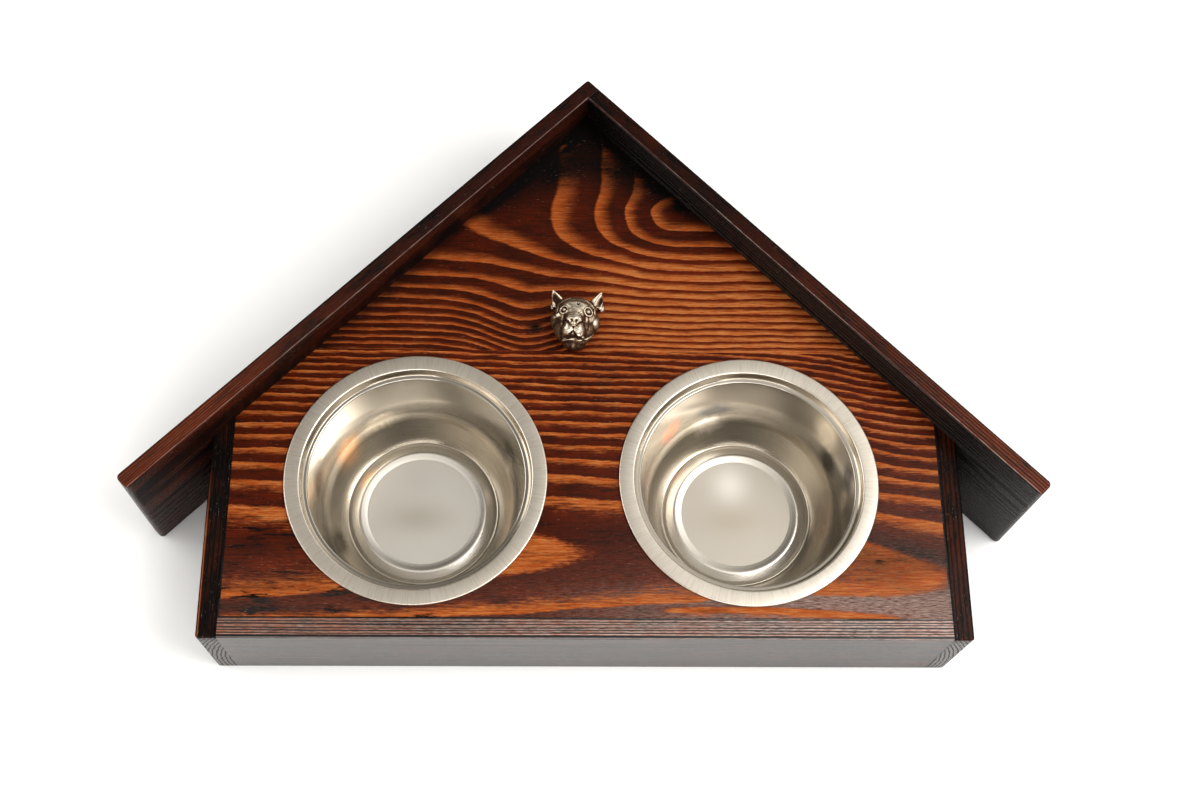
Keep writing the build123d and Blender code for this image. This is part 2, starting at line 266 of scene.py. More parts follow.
def scorchedWood(
    finish, grain, phase, scorch, pale=0.0, paintedSheen=0.0, swap=(0.45, 0.85), fray=1.0, gloss=(0.42, 0.2, 0.1),
    lined=False, char=0.4, soot=0.0, seam=0.0, ashAndPaintedSheen=0.0, dull=0.0,
):
    # phase counts growth rings: the soft start of each takes the scorch, its hard end stays orange
    fibre = finish.noise(grain, (26.0, 1.5, 1.5), 3.0, 0.7)
    hair = finish.noise(grain, (9.0, 0.8, 0.8), 2.0, 0.65)
    smoke = finish.noise(grain, (38.0, 14.0, 14.0), 5.0, 0.62)
    tear = finish.noise(grain, (6.0, 1.2, 1.2), 2.0, 0.6)
    turn = (phase + (tear - 0.5) * 0.12 * fray).fract()
    edge = turn + (smoke - 0.5) * 0.5 * fray + (fibre - 0.5) * 0.4 * fray + (tear - 0.5) * 0.35 * fray
    hard = edge.step(*swap) * (1.0 - turn.step(0.93, 1.0))
    warmth = (fibre * 1.8 + smoke * 1.8 - 1.4 + pale * 2.0).share()
    soft = finish.mix(shade("umber"), shade("russet"), warmth)
    glow = (fibre - 0.42) * 2.4 + (hair - 0.5) * 2.0 + (smoke - 0.5) * 0.8 + pale
    wood = finish.mix(soft, finish.mix(shade("orange"), shade("bright"), glow.share()), hard)
    plain = finish.mix(shade("umber"), shade("russet"), (fibre * 2.0 + smoke - 1.1).share())
    wood = finish.mix(wood, plain, dull)
    dashes = (hair - 0.54).above(0.0) * 3.0 + (0.43 - fibre).above(0.0) * 3.0
    spots = finish.noise(grain, (30.0, 5.0, 5.0), 4.0, 0.62)
    blotches = (spots + hair * 0.12 - 0.6).above(0.0) * 9.0 * soot
    early = (1.0 - turn.step(0.05, 0.45)) * char
    burnt = (scorch + early + (smoke - 0.5) * 1.4 + (fibre - 0.5) * 0.8).share() + dashes * 0.7 + blotches
    wood = finish.mix(wood, shade("char"), (burnt + seam).share())
    pores = finish.noise(grain, (7.0, 0.7, 0.7), 2.0, 0.7)
    flecks = finish.noise(grain, (5.0, 0.6, 0.6), 2.0, 0.6)
    # painted glints: bright specks of reflected light mixed into the base colour
    paintedGlints = (flecks - 0.66).above(0.0) * (smoke - 0.4).above(0.0) * 60.0
    # painted sheen: a pale haze of reflected light mixed into the base colour, on the hard bands of planks
    # and mostly on the soft bands of the panels
    paintedSheenShare = hard * (smoke * 1.4 + 0.35).share() if lined else 1.0 - hard * 0.92
    paintedSheenAndGlints = paintedSheenShare * (pores * 2.6 - 0.75).share() * paintedSheen + paintedGlints.share() * 0.5
    wood = finish.mix(wood, shade("paintedSheen"), paintedSheenAndGlints.share())
    # grey between the ring lines: ash on the side walls' end grain, painted sheen on the front face and the
    # roof's inner faces
    wood = finish.mix(wood, shade("ashAndPaintedSheen"), (turn.step(0.25, 0.45) * ashAndPaintedSheen).share())
    normal = finish.bump(hard * 0.4 + fibre * 0.5 + pores * 0.8, 0.00025)
    rough = gloss[0] + (gloss[1] - gloss[0]) * hard + (pores - 0.5) * 0.12
    return finish.surface(
        Base_Color=wood, Roughness=rough, Normal=normal, Specular_IOR_Level=gloss[2],
        Coat_Weight=0.04, Coat_Roughness=0.08,
    )


def blot(x, y, middle, reach):  # a soft round patch
    return x.hump(middle[0], reach[0]) * y.hump(middle[1], reach[1])


def roofGap(x, y):  # from a point of the panel to the nearer roof board
    return (boards["ridgeInner"] - y - x.size()) * math.sqrt(0.5)


def panelFrontFinish():
    finish = Finish("scorchedPineFront")
    grain = finish.mapped((0.0, shiftY, -boards["panelTop"]))
    x, y, z = finish.axes(grain)
    sway = finish.noise(grain, (70.0, 45.0, 60.0), 2.0)
    ragged = finish.noise(grain, (9.0, 3.0, 3.0), 2.0)
    droop = x.step(150.0, 290.0) * 15.0 + x.step(40.0, 230.0) * 4.0
    across = y - 68.5 + droop + (sway - 0.5) * 7.0 + (ragged - 0.5) * 1.6
    heart = 54.4 + x * 0.056 + z * 0.5
    phase = (across * across + heart * heart) / 2030.0 - 0.468
    seam = (x.size() - boards["sideInner"]).step(-1.6, -0.6) + y.step(17.2, 16.5)
    left = x.step(-140.0, -220.0)
    patches = (
        blot(x, y, (-261.0, 73.0), (26.0, 10.0)) * 0.6
        + left * (y.hump(39.0, 4.5) * 0.5 + y.hump(23.0, 3.5) * 0.7)
        + blot(x, y, (0.0, 206.0), (36.0, 22.0)) * 0.4
        + blot(x, y, (60.0, 88.0), (70.0, 13.0)) * 0.5
        + blot(x, y, (-60.0, 100.0), (40.0, 9.0)) * 0.4
        + blot(x, y, (240.0, 62.0), (60.0, 26.0)) * 0.7
    )
    streak = (y - 23.4 + x.step(120.0, 260.0) * 6.0).hump(0.0, 2.6)
    streak = streak * x.step(40.0, 80.0) * x.step(262.0, 200.0)
    # painted sheen, stronger towards the right and the front
    paintedSheen = x.step(-80.0, 200.0) * (y.step(50.0, 30.0) * 0.5 + y.step(190.0, 70.0) * 0.12)
    paintedSheen += y.step(90.0, 20.0) * 0.1
    swap = (0.45 - streak * 0.9, 0.85 - streak * 0.9)
    soot = x.step(-30.0, -160.0) * y.step(130.0, 60.0) * 0.8 + 0.3
    scorch = patches - 0.25 - streak * 0.6
    paintedSheenShare = paintedSheen * (1.0 - streak)
    return scorchedWood(finish, grain, phase, scorch, 0.0, paintedSheenShare, swap, soot=soot, seam=seam)


def panelRearFinish():
    finish = Finish("scorchedPineRear")
    grain = finish.mapped((0.0, shiftY, -boards["panelTop"]))
    x, y, z = finish.axes(grain)
    sway = finish.noise(grain, (60.0, 40.0, 60.0), 2.0)
    ragged = finish.noise(grain, (9.0, 3.0, 3.0), 2.0)
    dip = x.hump(-52.0, 35.0) * y.step(320.0, 268.0) * 16.0
    below = 373.0 - y - dip + (sway - 0.5) * 5.0 + (ragged - 0.5) * 1.4 + z * 0.2
    down = ((below * below + 40.0) ** 0.5 + below) * 0.5
    up = ((below * below + 40.0) ** 0.5 - below) * 0.5
    left = (74.5 - x + (sway - 0.5) * 7.0 + (ragged - 0.5) * 1.4).above(0.0)
    reach = (left / 110.0).tanh() * 5.3
    fall = down * 0.0379 + down * down * 0.000565
    rise = (up / 14.0).tanh() * 1.25
    phase = (reach * reach + fall * fall + rise * rise) ** 0.5
    gap = roofGap(x, y)
    onLeft = x.step(-2.0, -14.0)
    sunny = x.step(-30.0, 40.0) * y.step(345.0, 315.0)
    knots = blot(x, y, (-44.0, 262.5), (7.0, 4.5)) + blot(x, y, (78.0, 377.0), (7.0, 5.0)) * 0.5
    wear = blot(x, y, (-22.0, 432.0), (12.0, 12.0)) * gap.hump(5.0, 3.0)
    wear += blot(x, y, (-108.0, 352.0), (16.0, 16.0)) * gap.hump(9.0, 5.0)
    brown = blot(x, y, (-68.0, 380.0), (20.0, 20.0)) + blot(x, y, (-20.0, 420.0), (26.0, 13.0)) * 0.5
    apex = (y + x.size() * 0.35).step(382.0, 422.0)
    eaves = gap.step(15.0, 1.0) * (0.35 + onLeft * 0.3)
    glue = y.hump(boards["seam"], 1.0)
    scorch = eaves + apex * 0.95 + knots * 0.9 + brown * 0.15 + glue * 0.2 - wear * 0.8 - 0.15
    swap = (0.42 - sunny * 0.3 + brown * 0.6, 0.95 - sunny * 0.3 + brown * 0.6)
    pale = sunny * 0.3 - 0.1
    return scorchedWood(finish, grain, phase, scorch, pale, 0.0, swap, 0.4, char=0.15, soot=0.15)


def plankFinish(name, location, turn, order, heart, pitch, scorch, pale, edges, gloss, fray=0.25):
    # straight grain along the plank; heart is where the tree's middle lies across and through it
    finish = Finish(name)
    place = finish.axes(finish.mapped(location, turn))
    grain = finish.vector(*[place[i] for i in order])
    wide, deep = finish.axes(grain)[1:]
    sway = finish.noise(grain, (180.0, 60.0, 60.0), 2.0)
    across = wide - heart[0] + (sway - 0.5) * 6.0
    through = deep - heart[1] + (sway - 0.5) * 2.0
    drift = finish.noise(grain, (400.0, 5.0, 5.0), 1.0)
    ring = (across * across + through * through) ** 0.5 / pitch + (drift - 0.5) * fray * 3.0
    cloud = finish.noise(grain, (110.0, 40.0, 40.0), 2.0)
    added, paintedSheen, seam, ashAndPaintedSheen, dull = edges(finish)
    burnt = (cloud - 0.5) * 0.9 + scorch + added
    return scorchedWood(
        finish, grain, ring, burnt, pale, paintedSheen, (0.25, 0.5), fray, gloss,
        lined=True, soot=0.3, seam=seam, ashAndPaintedSheen=ashAndPaintedSheen, dull=dull,
    )


# each of the next three gives what is added to a plank's scorch, then its painted sheen, seam, ash and
# painted sheen grey, and dullness
def frontEdges(finish):  # charred arris, painted sheen on the top with a painted highlight along its front edge, a face painted grey as part of its reflection of the floor and darker at its right end
    x, y, z = finish.axes(finish.mapped((0.0, shiftY, -boards["panelTop"])))
    onTop = z.step(-1.2, -0.4)
    face = y.step(1.4, 0.6)
    arris = (y - z).step(3.6, 2.6) * (1.0 - face)
    lit = y.hump(3.4, 0.7) * onTop
    paintedSheen = onTop * (x.step(-300.0, 260.0) * 0.6 + 0.45) + lit * 0.6
    feather = x.step(262.0, boards["sideInner"]) * face
    joint = x.hump(boards["sideInner"], 1.1) * face
    # the face's grey is painted reflection of the floor, added to the lacquer's own
    ashAndPaintedSheen = face * (0.62 - x.step(-40.0, 280.0) * 0.2) - feather * 0.4
    return face * 0.3 - lit * 1.5, paintedSheen * (1.0 - arris), arris * 0.9 + joint, ashAndPaintedSheen, 0.0


def sideEdges(finish):  # dark rims and joint, grey end grain at the front, amber wear on the left arris
    x, y, z = finish.axes(finish.mapped((0.0, shiftY, -boards["panelTop"])))
    amber = (x + boards["sideOuter"] - z).step(2.6, 1.2) * y.step(190.0, 20.0)
    rims = (x.size() - boards["sideMiddle"]).size().step(5.4, 7.6) * z.step(-6.0, -2.0) * (1.0 - amber)
    end = y.step(1.4, 0.6) * z.step(-1.0, -14.0)
    joint = x.hump(boards["sideInner"], 1.4) * end
    ashAndPaintedSheen = end * 0.95 * (1.0 - joint)
    scorch = rims * 0.5 - amber * 1.7 + end * 0.9 + joint
    dull = (1.0 - end) * (1.0 - amber) * 0.85
    # the amber wear carries a faint painted sheen
    return scorch, amber * 0.1, 0.0, ashAndPaintedSheen, dull


def roofEdges(finish):  # dark red-brown tops worn towards the eaves with a faint painted sheen, a painted highlight along the inner arris, inner faces darker on the right board with a painted grey sheen there
    x, y, z = finish.axes(finish.mapped((0.0, shiftY, -boards["roofTop"])))
    gap = roofGap(x, y)
    onTop = z.step(-1.2, -0.4)
    lit = gap.hump(-1.1, 0.5) * onTop
    rims = (gap + 7.0).size().step(4.6, 6.4) * onTop * (1.0 - lit)
    inner = gap.step(-1.4, -0.6)
    eave = x.size().step(120.0, 330.0) * onTop
    onRight = x.step(-20.0, 20.0)
    scorch = rims * 0.5 + inner * (onRight * 0.6 - 0.1) - eave * 0.6 - lit * 0.6
    paintedSheen = lit * (0.35 + onRight * 0.3) + eave * 0.08
    # painted grey sheen on the inner faces, mostly the right one
    ashAndPaintedSheen = inner * (x.step(0.0, 60.0) * 0.14 + 0.02)
    dull = 0.95 - eave * 0.22
    return scorch, paintedSheen, 0.0, ashAndPaintedSheen, dull


def dress(material, *nodes):
    for node in nodes:
        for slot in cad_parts[node].material_slots:
            slot.material = material


dress(panelFrontFinish(), "panel_front_board")
dress(panelRearFinish(), "panel_rear_board")
planks = {  # location and turn lead to the grain's own axes, taken in the given order
    "front_wall": {
        "location": (0.0, shiftY, 0.0), "turn": 0.0, "order": (0, 2, 1),
        "heart": (125.0, -34.0), "pitch": 1.9, "scorch": 0.56, "pale": -0.5, "edges": frontEdges,
        "gloss": (0.42, 0.3, 0.6), "fray": 0.45,
    },
    "left_side_wall": {
        "location": (boards["sideMiddle"], shiftY, 0.0), "turn": 0.0, "order": (1, 2, 0),
        "heart": (18.0, 150.0), "pitch": 3.4, "scorch": 0.85, "pale": -0.2, "edges": sideEdges,
        "gloss": (0.42, 0.28, 0.1),
    },
    "right_side_wall": {
        "location": (-boards["sideMiddle"], shiftY, 0.0), "turn": 0.0, "order": (1, 2, 0),
        "heart": (18.0, -150.0), "pitch": 3.4, "scorch": 0.65, "pale": -0.2, "edges": sideEdges,
        "gloss": (0.42, 0.28, 0.1),
    },
    "left_roof_board": {
        "location": (ridgeShift, -ridgeShift, 0.0), "turn": math.radians(135.0), "order": (0, 2, 1),
        "heart": (100.0, -60.0), "pitch": 2.0, "scorch": 0.62, "pale": -0.2, "edges": roofEdges,
        "gloss": (0.36, 0.26, 0.15),
    },
    "right_roof_board": {
        "location": (ridgeShift, -ridgeShift, 0.0), "turn": math.radians(45.0), "order": (0, 2, 1),
        "heart": (90.0, -70.0), "pitch": 2.0, "scorch": 0.66, "pale": -0.2, "edges": roofEdges,
        "gloss": (0.36, 0.26, 0.15),
    },
}
for node, plank in planks.items():
    dress(plankFinish("scorchedPine_" + node, **plank), node)


def bareWood(name, colours, turn, order):  # unlacquered: cleats out of sight and dowel ends
    finish = Finish(name)
    place = finish.axes(finish.mapped((0.0, 0.0, 0.0), turn))
    grain = finish.vector(*[place[i] for i in order])
    wide, deep = finish.axes(grain)[1:]
    sway = finish.noise(grain, (120.0, 30.0, 30.0), 2.0)
    fibre = finish.noise(grain, (22.0, 0.9, 0.9), 3.0, 0.65)
    radius = ((wide + 60.0) * (wide + 60.0) + (deep - 40.0) * (deep - 40.0)) ** 0.5
    ring = (radius / 3.4 + (sway - 0.5) * 1.2).fract()
    late = ring.step(0.45, 0.9) * (1.0 - ring.step(0.93, 1.0))
    wood = finish.mix(tint(colours[0]), tint(colours[1]), (late * 0.7 + (fibre - 0.5) * 0.8).share())
    wood = finish.mix(wood, tint(colours[2]), ((sway - 0.55) * 3.0).share() * 0.6)
    rough = 0.62 + (fibre - 0.5) * 0.2
    normal = finish.bump(fibre + late * 0.5, 0.00015)
    return finish.surface(Base_Color=wood, Roughness=rough, Normal=normal)


def zincFinish():
    finish = Finish("zincPlate")
    place = finish.mapped((0.0, 0.0, 0.0))
    spangle = finish.noise(place, (2.4, 2.4, 2.4), 3.0, 0.6)
    scuff = finish.noise(place, (0.5, 0.5, 3.0), 2.0)
    tone = finish.mix(tint("b9bcbf"), tint("8e9092"), (spangle * 1.6 - 0.3).share())
    rough = 0.28 + spangle * 0.15 + (scuff - 0.5) * 0.1
    normal = finish.bump(scuff, 0.00003)
    return finish.surface(Base_Color=tone, Metallic=1.0, Roughness=rough, Normal=normal)


def rubberFinish():
    finish = Finish("bumperRubber")
    place = finish.mapped((0.0, 0.0, 0.0))
    bloom = finish.noise(place, (4.0, 4.0, 4.0), 4.0, 0.6)
    grit = finish.noise(place, (0.4, 0.4, 0.4), 2.0)
    tone = finish.mix(tint("19191a"), tint("343335"), (bloom * 1.8 - 0.4).share())
    rough = 0.66 + bloom * 0.2
    normal = finish.bump(grit, 0.00006)
    return finish.surface(Base_Color=tone, Roughness=rough, Normal=normal)


pineTones = ("c99f63", "a8733a", "8f5f33")
beechTones = ("c79a68", "ad7c4c", "9a6a40")
dress(bareWood("plainPineAcross", pineTones, 0.0, (0, 1, 2)), "front_cleat")
dress(bareWood("plainPineAlong", pineTones, 0.0, (1, 0, 2)), "left_side_cleat", "right_side_cleat")
dress(bareWood("plainPineLeft", pineTones, math.radians(135.0), (0, 1, 2)), "left_roof_cleat")
dress(bareWood("plainPineRight", pineTones, math.radians(45.0), (0, 1, 2)), "right_roof_cleat")
dress(bareWood("beechAlong", beechTones, 0.0, (1, 0, 2)), "front_corner_dowels", "panel_seam_dowels")
dress(bareWood("beechRidge", beechTones, math.radians(135.0), (0, 1, 2)), "ridge_dowels")
dress(
    zincFinish(), "eave_nails", "cleat_to_wall_screws", "cleat_to_panel_screws", "knob_screw",
    "knob_washer",
)
dress(rubberFinish(), "bumper_feet")
print("CAD pieces dressed")


bowl = {  # radii, heights from the panel's top and corner radii, mm
    "sheet": 0.8, "rim": 104.5, "lip": 92.5, "rimHeight": 2.5, "hem": 6.5, "lipRound": 1.2,
    "neck": (90.1, -5.0), "shoulder": 86.9, "shoulderRound": 0.9,
    "belly": (80.0, -68.0, 28.0), "base": (63.0, -91.6, 1.6),
    "bead": ((59.5, -89.6, 4.0), (52.5, -87.2, 5.0), (46.5, -88.4, 1.5)),
    "steps": 160, "bendSteps": 7, "wideBend": 10,
}
paintedReflections = {  # painted reflections of the room in the polish: colour, place, reach, share
    "left_bowl": [
        ("f3c49c", (-62.0, 46.0, -64.0), (10.0, 14.0, 16.0), 0.9),
        ("fff4e2", (-75.0, 39.0, -24.0), (10.0, 12.0, 14.0), 0.9),
        ("fff4e2", (-37.0, 70.0, -62.0), (20.0, 12.0, 8.0), 0.8),
        ("3f3a33", (-83.0, 9.0, -40.0), (6.0, 12.0, 14.0), 0.8),
        ("3f3a33", (-66.0, -31.0, -74.0), (8.0, 14.0, 10.0), 0.7),
        ("3f3a33", (74.0, 38.0, -42.0), (7.0, 12.0, 13.0), 0.8),
        ("fff4e2", (72.0, 30.0, -58.0), (8.0, 9.0, 9.0), 0.7),
    ],
    "right_bowl": [
        ("34383c", (-20.0, 79.0, -49.0), (20.0, 10.0, 11.0), 0.7),
        ("e8a284", (-58.0, 58.0, -46.0), (9.0, 10.0, 14.0), 0.9),
        ("fff8ee", (-24.0, 73.0, -69.0), (13.0, 12.0, 8.0), 0.9),
        ("fff4e2", (70.0, 49.0, -22.0), (10.0, 14.0, 16.0), 0.9),
        ("3f3a33", (75.0, 35.0, -48.0), (7.0, 12.0, 12.0), 0.8),
        ("3f3a33", (85.0, 10.0, -20.0), (6.0, 10.0, 13.0), 0.8),
        ("fff4e2", (84.0, -5.0, -38.0), (6.0, 9.0, 10.0), 0.8),
    ],
}


def bentProfile(bm, corners):  # a chain of edges in the XZ plane whose corners are rounded to their radii
    points = [bm.verts.new((radius * mm, 0.0, height * mm)) for radius, height, _ in corners]
    for start, end in zip(points, points[1:]):
        bm.edges.new((start, end))
    for i in range(1, len(corners) - 1):
        before, here, after = (Vector(corners[j][:2]) for j in (i - 1, i, i + 1))
        turn = (here - before).angle(after - here)
        bend = corners[i][2]
        steps = bowl["bendSteps"] if bend < bowl["wideBend"] else 3 * bowl["bendSteps"]
        bmesh.ops.bevel(
            bm, geom=[points[i]], offset=bend * mm * math.tan(turn / 2), segments=steps, profile=0.5,
            affect="VERTICES", material=-1,
        )


def steelFinish(name, centre, paintedFloorTone, paintedSpots):
    finish = Finish(name)
    vector = finish.mapped((-centre.x / mm, -centre.y / mm, -centre.z / mm))
    x, y, z = finish.axes(vector)
    radius = (x * x + y * y) ** 0.5
    angle = finish.node("ShaderNodeMath", {"operation": "ARCTAN2"}, {0: y, 1: x})
    even = (1.0, 1.0, 1.0)
    turnedLines = finish.noise(finish.vector(radius * 2.0 + z * 2.0, angle * 1.5, 0.0), even, 3.0, 0.6)
    drawnLines = finish.noise(finish.vector(angle * 70.0, z * 0.08, radius * 0.05), even, 2.0, 0.5)
    jagged = finish.noise(finish.vector(angle * 18.0, z * 0.04, 0.0), even, 3.0, 0.75)
    smudge = finish.noise(finish.vector(angle * 2.2, z * 0.06, 3.0), even, 2.0)
    patches = finish.noise(vector, (22.0, 22.0, 22.0), 2.0)
    onRim = radius.step(91.0, 93.5)
    onFloor = 1.0 - radius.step(45.0, 50.0)
    onRing = radius.step(45.5, 48.0) * (1.0 - radius.step(60.0, 62.5))
    onWall = radius.step(62.0, 66.0) * (1.0 - radius.step(86.0, 88.5))
    paintedFanHighlight = blot(x, y, (-4.0, 26.0), (15.0, 17.0)) * onFloor
    paintedDarkReflection = blot(x, y, (-4.0, -6.0), (26.0, 13.0)) * onFloor
    wobble = (smudge - 0.5) * 14.0 + (jagged - 0.5) * 10.0
    tone = finish.mix(tint("cbc2b4"), tint("d8d0c4"), patches)
    # the inner wall painted darker: painted shade
    tone = finish.mix(tone, tint("a8a196"), onWall * 0.9)
    # the floor and the ring get each bowl's painted brightness
    tone = finish.mix(tone, tint(paintedFloorTone), onFloor * 0.85 + onRing * 0.3)
    # painted highlight: the ring lighter and a fan of light on the floor
    tone = finish.mix(tone, tint("f4eee4"), onRing * 0.4 + paintedFanHighlight * 0.9)
    # a painted dark reflection in the middle of the floor
    tone = finish.mix(tone, tint("b3a58c"), paintedDarkReflection * 0.35)
    # paint the room's reflections onto the wall
    for code, spot, reach, share in paintedSpots:
        paintedSpot = blot(x + wobble * 0.3, y + wobble * 0.3, spot, reach) * (z + wobble).hump(spot[2], reach[2])
        tone = finish.mix(tone, tint(code), (paintedSpot * 1.6 - 0.15).share() * onWall * share)
    tone = finish.mix(tone, tint("93897b"), (drawnLines - 0.45).above(0.0) * onRim * 0.9)
    low = onWall * z.step(-35.0, -60.0)
    rough = 0.14 + onRim * 0.24 + onFloor * 0.2 + onRing * 0.12 + low * 0.14 + (turnedLines - 0.5) * 0.06
    height = turnedLines * (0.1 + onRim * 0.5 + onFloor * 0.7) + drawnLines * (1.0 - onFloor) * 0.12
    normal = finish.bump(height, 0.00004)
    return finish.surface(Base_Color=tone, Metallic=1.0, Roughness=rough, Normal=normal)


def makeBowl(node, paintedFloorTone):
    low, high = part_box(node)
    top = high.z - bowl["rimHeight"] * mm
    centre = Vector(((low.x + high.x) / 2, (low.y + high.y) / 2, top))
    half = bowl["sheet"] / 2
    rimZ = bowl["rimHeight"] - half
    hemRound = (rimZ - half) / 2
    corners = [
        (bowl["rim"] - bowl["hem"], half, 0.0),
        (bowl["rim"] - half, half, hemRound),
        (bowl["rim"] - half, rimZ, hemRound),
        (bowl["lip"], rimZ, bowl["lipRound"]),
        (*bowl["neck"], bowl["shoulderRound"]),
        (bowl["shoulder"], bowl["neck"][1], bowl["shoulderRound"]),
        bowl["belly"],
        bowl["base"],
        *bowl["bead"],
        (0.0, bowl["bead"][-1][1], 0.0),
    ]
    bm = bmesh.new()
    bentProfile(bm, corners)
    bmesh.ops.spin(
        bm, geom=bm.verts[:] + bm.edges[:], cent=(0, 0, 0), axis=(0, 0, 1), angle=2 * math.pi,
        steps=bowl["steps"], use_merge=True,
    )
    bmesh.ops.remove_doubles(bm, verts=bm.verts, dist=1e-6)
    bmesh.ops.recalc_face_normals(bm, faces=bm.faces)
    bmesh.ops.translate(bm, verts=bm.verts, vec=centre)
    steel = steelFinish("steel_" + node, centre, paintedFloorTone, paintedReflections[node])
    piece = finishPiece(bm, "spun_" + node, steel, node, node)
    shell = piece.modifiers.new("sheet", "SOLIDIFY")
    shell.thickness = bowl["sheet"] * mm
    shell.offset = 0.0
    shell.use_even_offset = True


def finishPiece(bm, name, material, body, node):
    mesh = bpy.data.meshes.new(name)
    for face in bm.faces:
        face.smooth = True
    bm.to_mesh(mesh)
    bm.free()
    mesh.materials.append(material)
    piece = bpy.data.objects.new(name, mesh)
    bpy.context.scene.collection.objects.link(piece)
    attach(piece, body)
    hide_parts(node)
    print("made", name)
    return piece


# each bowl's floor tone is painted light: lighter in the left bowl, darker in the right
makeBowl("left_bowl", "fffaf0")
makeBowl("right_bowl", "ccc4b8")


knob = {  # place and turn; skin's voxel; rounds of smoothing; neck's radius and height; face's limits; mm
    "x": -9.5, "y": 259.0, "turn": -6.0, "voxel": 0.36, "melt": 5, "faceMelt": 15, "soften": 36,
    "neck": (14.0, 6.0), "face": (17.0, 18.0, 11.0),
}
headForms = {  # centre and half sizes, the crown towards +Y and the face up
    "skull": ((-1.8, 8.5, 13.5), (17.5, 15.5, 11.5)),
    "jowls": ((-1.8, -3.0, 11.5), (17.0, 15.0, 10.0)),
    "leftCheek": ((-13.8, 3.5, 10.0), (8.2, 10.0, 7.5)),
    "rightCheek": ((10.8, 4.5, 10.0), (8.2, 10.0, 7.5)),
    "brow": ((-1.6, 9.5, 20.5), (13.0, 8.5, 5.8)),
    "stop": ((-2.0, 4.5, 21.5), (8.5, 7.5, 6.6)),
    "bridge": ((-2.2, -1.0, 23.0), (7.0, 7.6, 8.2)),
    "muzzle": ((-2.2, -5.5, 23.0), (8.0, 7.0, 9.6)),
    "leftFlew": ((-6.0, -9.4, 20.8), (5.8, 6.0, 8.2)),
    "rightFlew": ((2.1, -9.2, 20.8), (5.9, 6.0, 8.4)),
    "philtrum": ((-2.1, -9.8, 21.5), (2.6, 5.6, 7.6)),
    "leftCorner": ((-8.2, -11.4, 18.0), (3.4, 4.2, 5.2)),
    "rightCorner": ((4.8, -11.2, 18.0), (3.4, 4.2, 5.2)),
    "nose": ((-2.1, -3.6, 31.7), (6.4, 3.5, 2.7)),
    "noseTip": ((-2.1, -6.8, 31.2), (3.5, 3.6, 2.6)),
    "lowerLip": ((-0.6, -11.4, 13.2), (12.5, 6.6, 5.4)),
    "chin": ((-1.0, -13.0, 8.5), (10.5, 7.5, 8.5)),
    "leftLobe": ((-21.4, 16.2, 10.0), (2.2, 3.8, 3.2)),
    "rightLobe": ((18.6, 18.2, 10.0), (3.2, 3.4, 3.4)),
}
ears = {  # root and tip
    "left": ((-16.5, 17.5, 12.0), (-22.5, 25.3, 21.0)),
    "right": ((13.5, 19.0, 12.0), (17.6, 28.0, 21.0)),
}
earShape = {"root": 6.6, "tip": 0.6, "flat": 0.62}  # radii at both ends, thickness to width
cups = {"left": (1.0, 2.8), "right": (2.6, 1.8)}  # where across the ear its hollow lies, and how wide
cupShape = {"depth": 4.4, "least": 1.0, "middle": 0.42, "spread": 0.38}  # the last two as shares of the ear
lumps = [  # place, half width, height: raised where positive
    ((-11.4, 7.7), 1.15, 1.2), ((8.8, 7.9), 1.3, 1.4),  # eyeballs
    ((-1.2, 13.5), 0.6, -0.7), ((0.3, 13.5), 0.6, -0.7), ((-0.45, 12.5), 0.7, -0.9),  # dent in the forehead
    ((-4.5, -5.4), 1.35, -2.8), ((0.3, -5.6), 1.35, -2.8),  # nostrils
    ((-2.1, -7.8), 1.6, 0.7),  # tip of the nose
    ((-17.4, 3.6), 2.0, 0.8), ((15.0, 2.8), 3.6, 0.8),  # cheekbones
    ((-7.4, 12.0), 3.6, 0.5), ((4.4, 12.0), 3.6, 0.5),  # brows
    ((-5.8, -11.0), 3.2, 0.5), ((2.0, -10.6), 3.2, 0.5),  # flews
    ((-0.9, -19.4), 1.6, 0.5),  # beard under the lip
    ((-9.6, -14.2), 1.0, 0.6), ((6.0, -13.6), 1.0, 0.6),  # corners of the mouth
]
hoops = [  # middle, radius, half width, height: eyelids and the sockets inside them
    ((-11.4, 7.7), 3.0, 0.6, 0.6), ((8.6, 8.0), 3.2, 0.6, 0.6),
    ((-11.4, 7.7), 1.9, 0.6, -0.8), ((8.6, 8.0), 2.1, 0.6, -0.55),
]
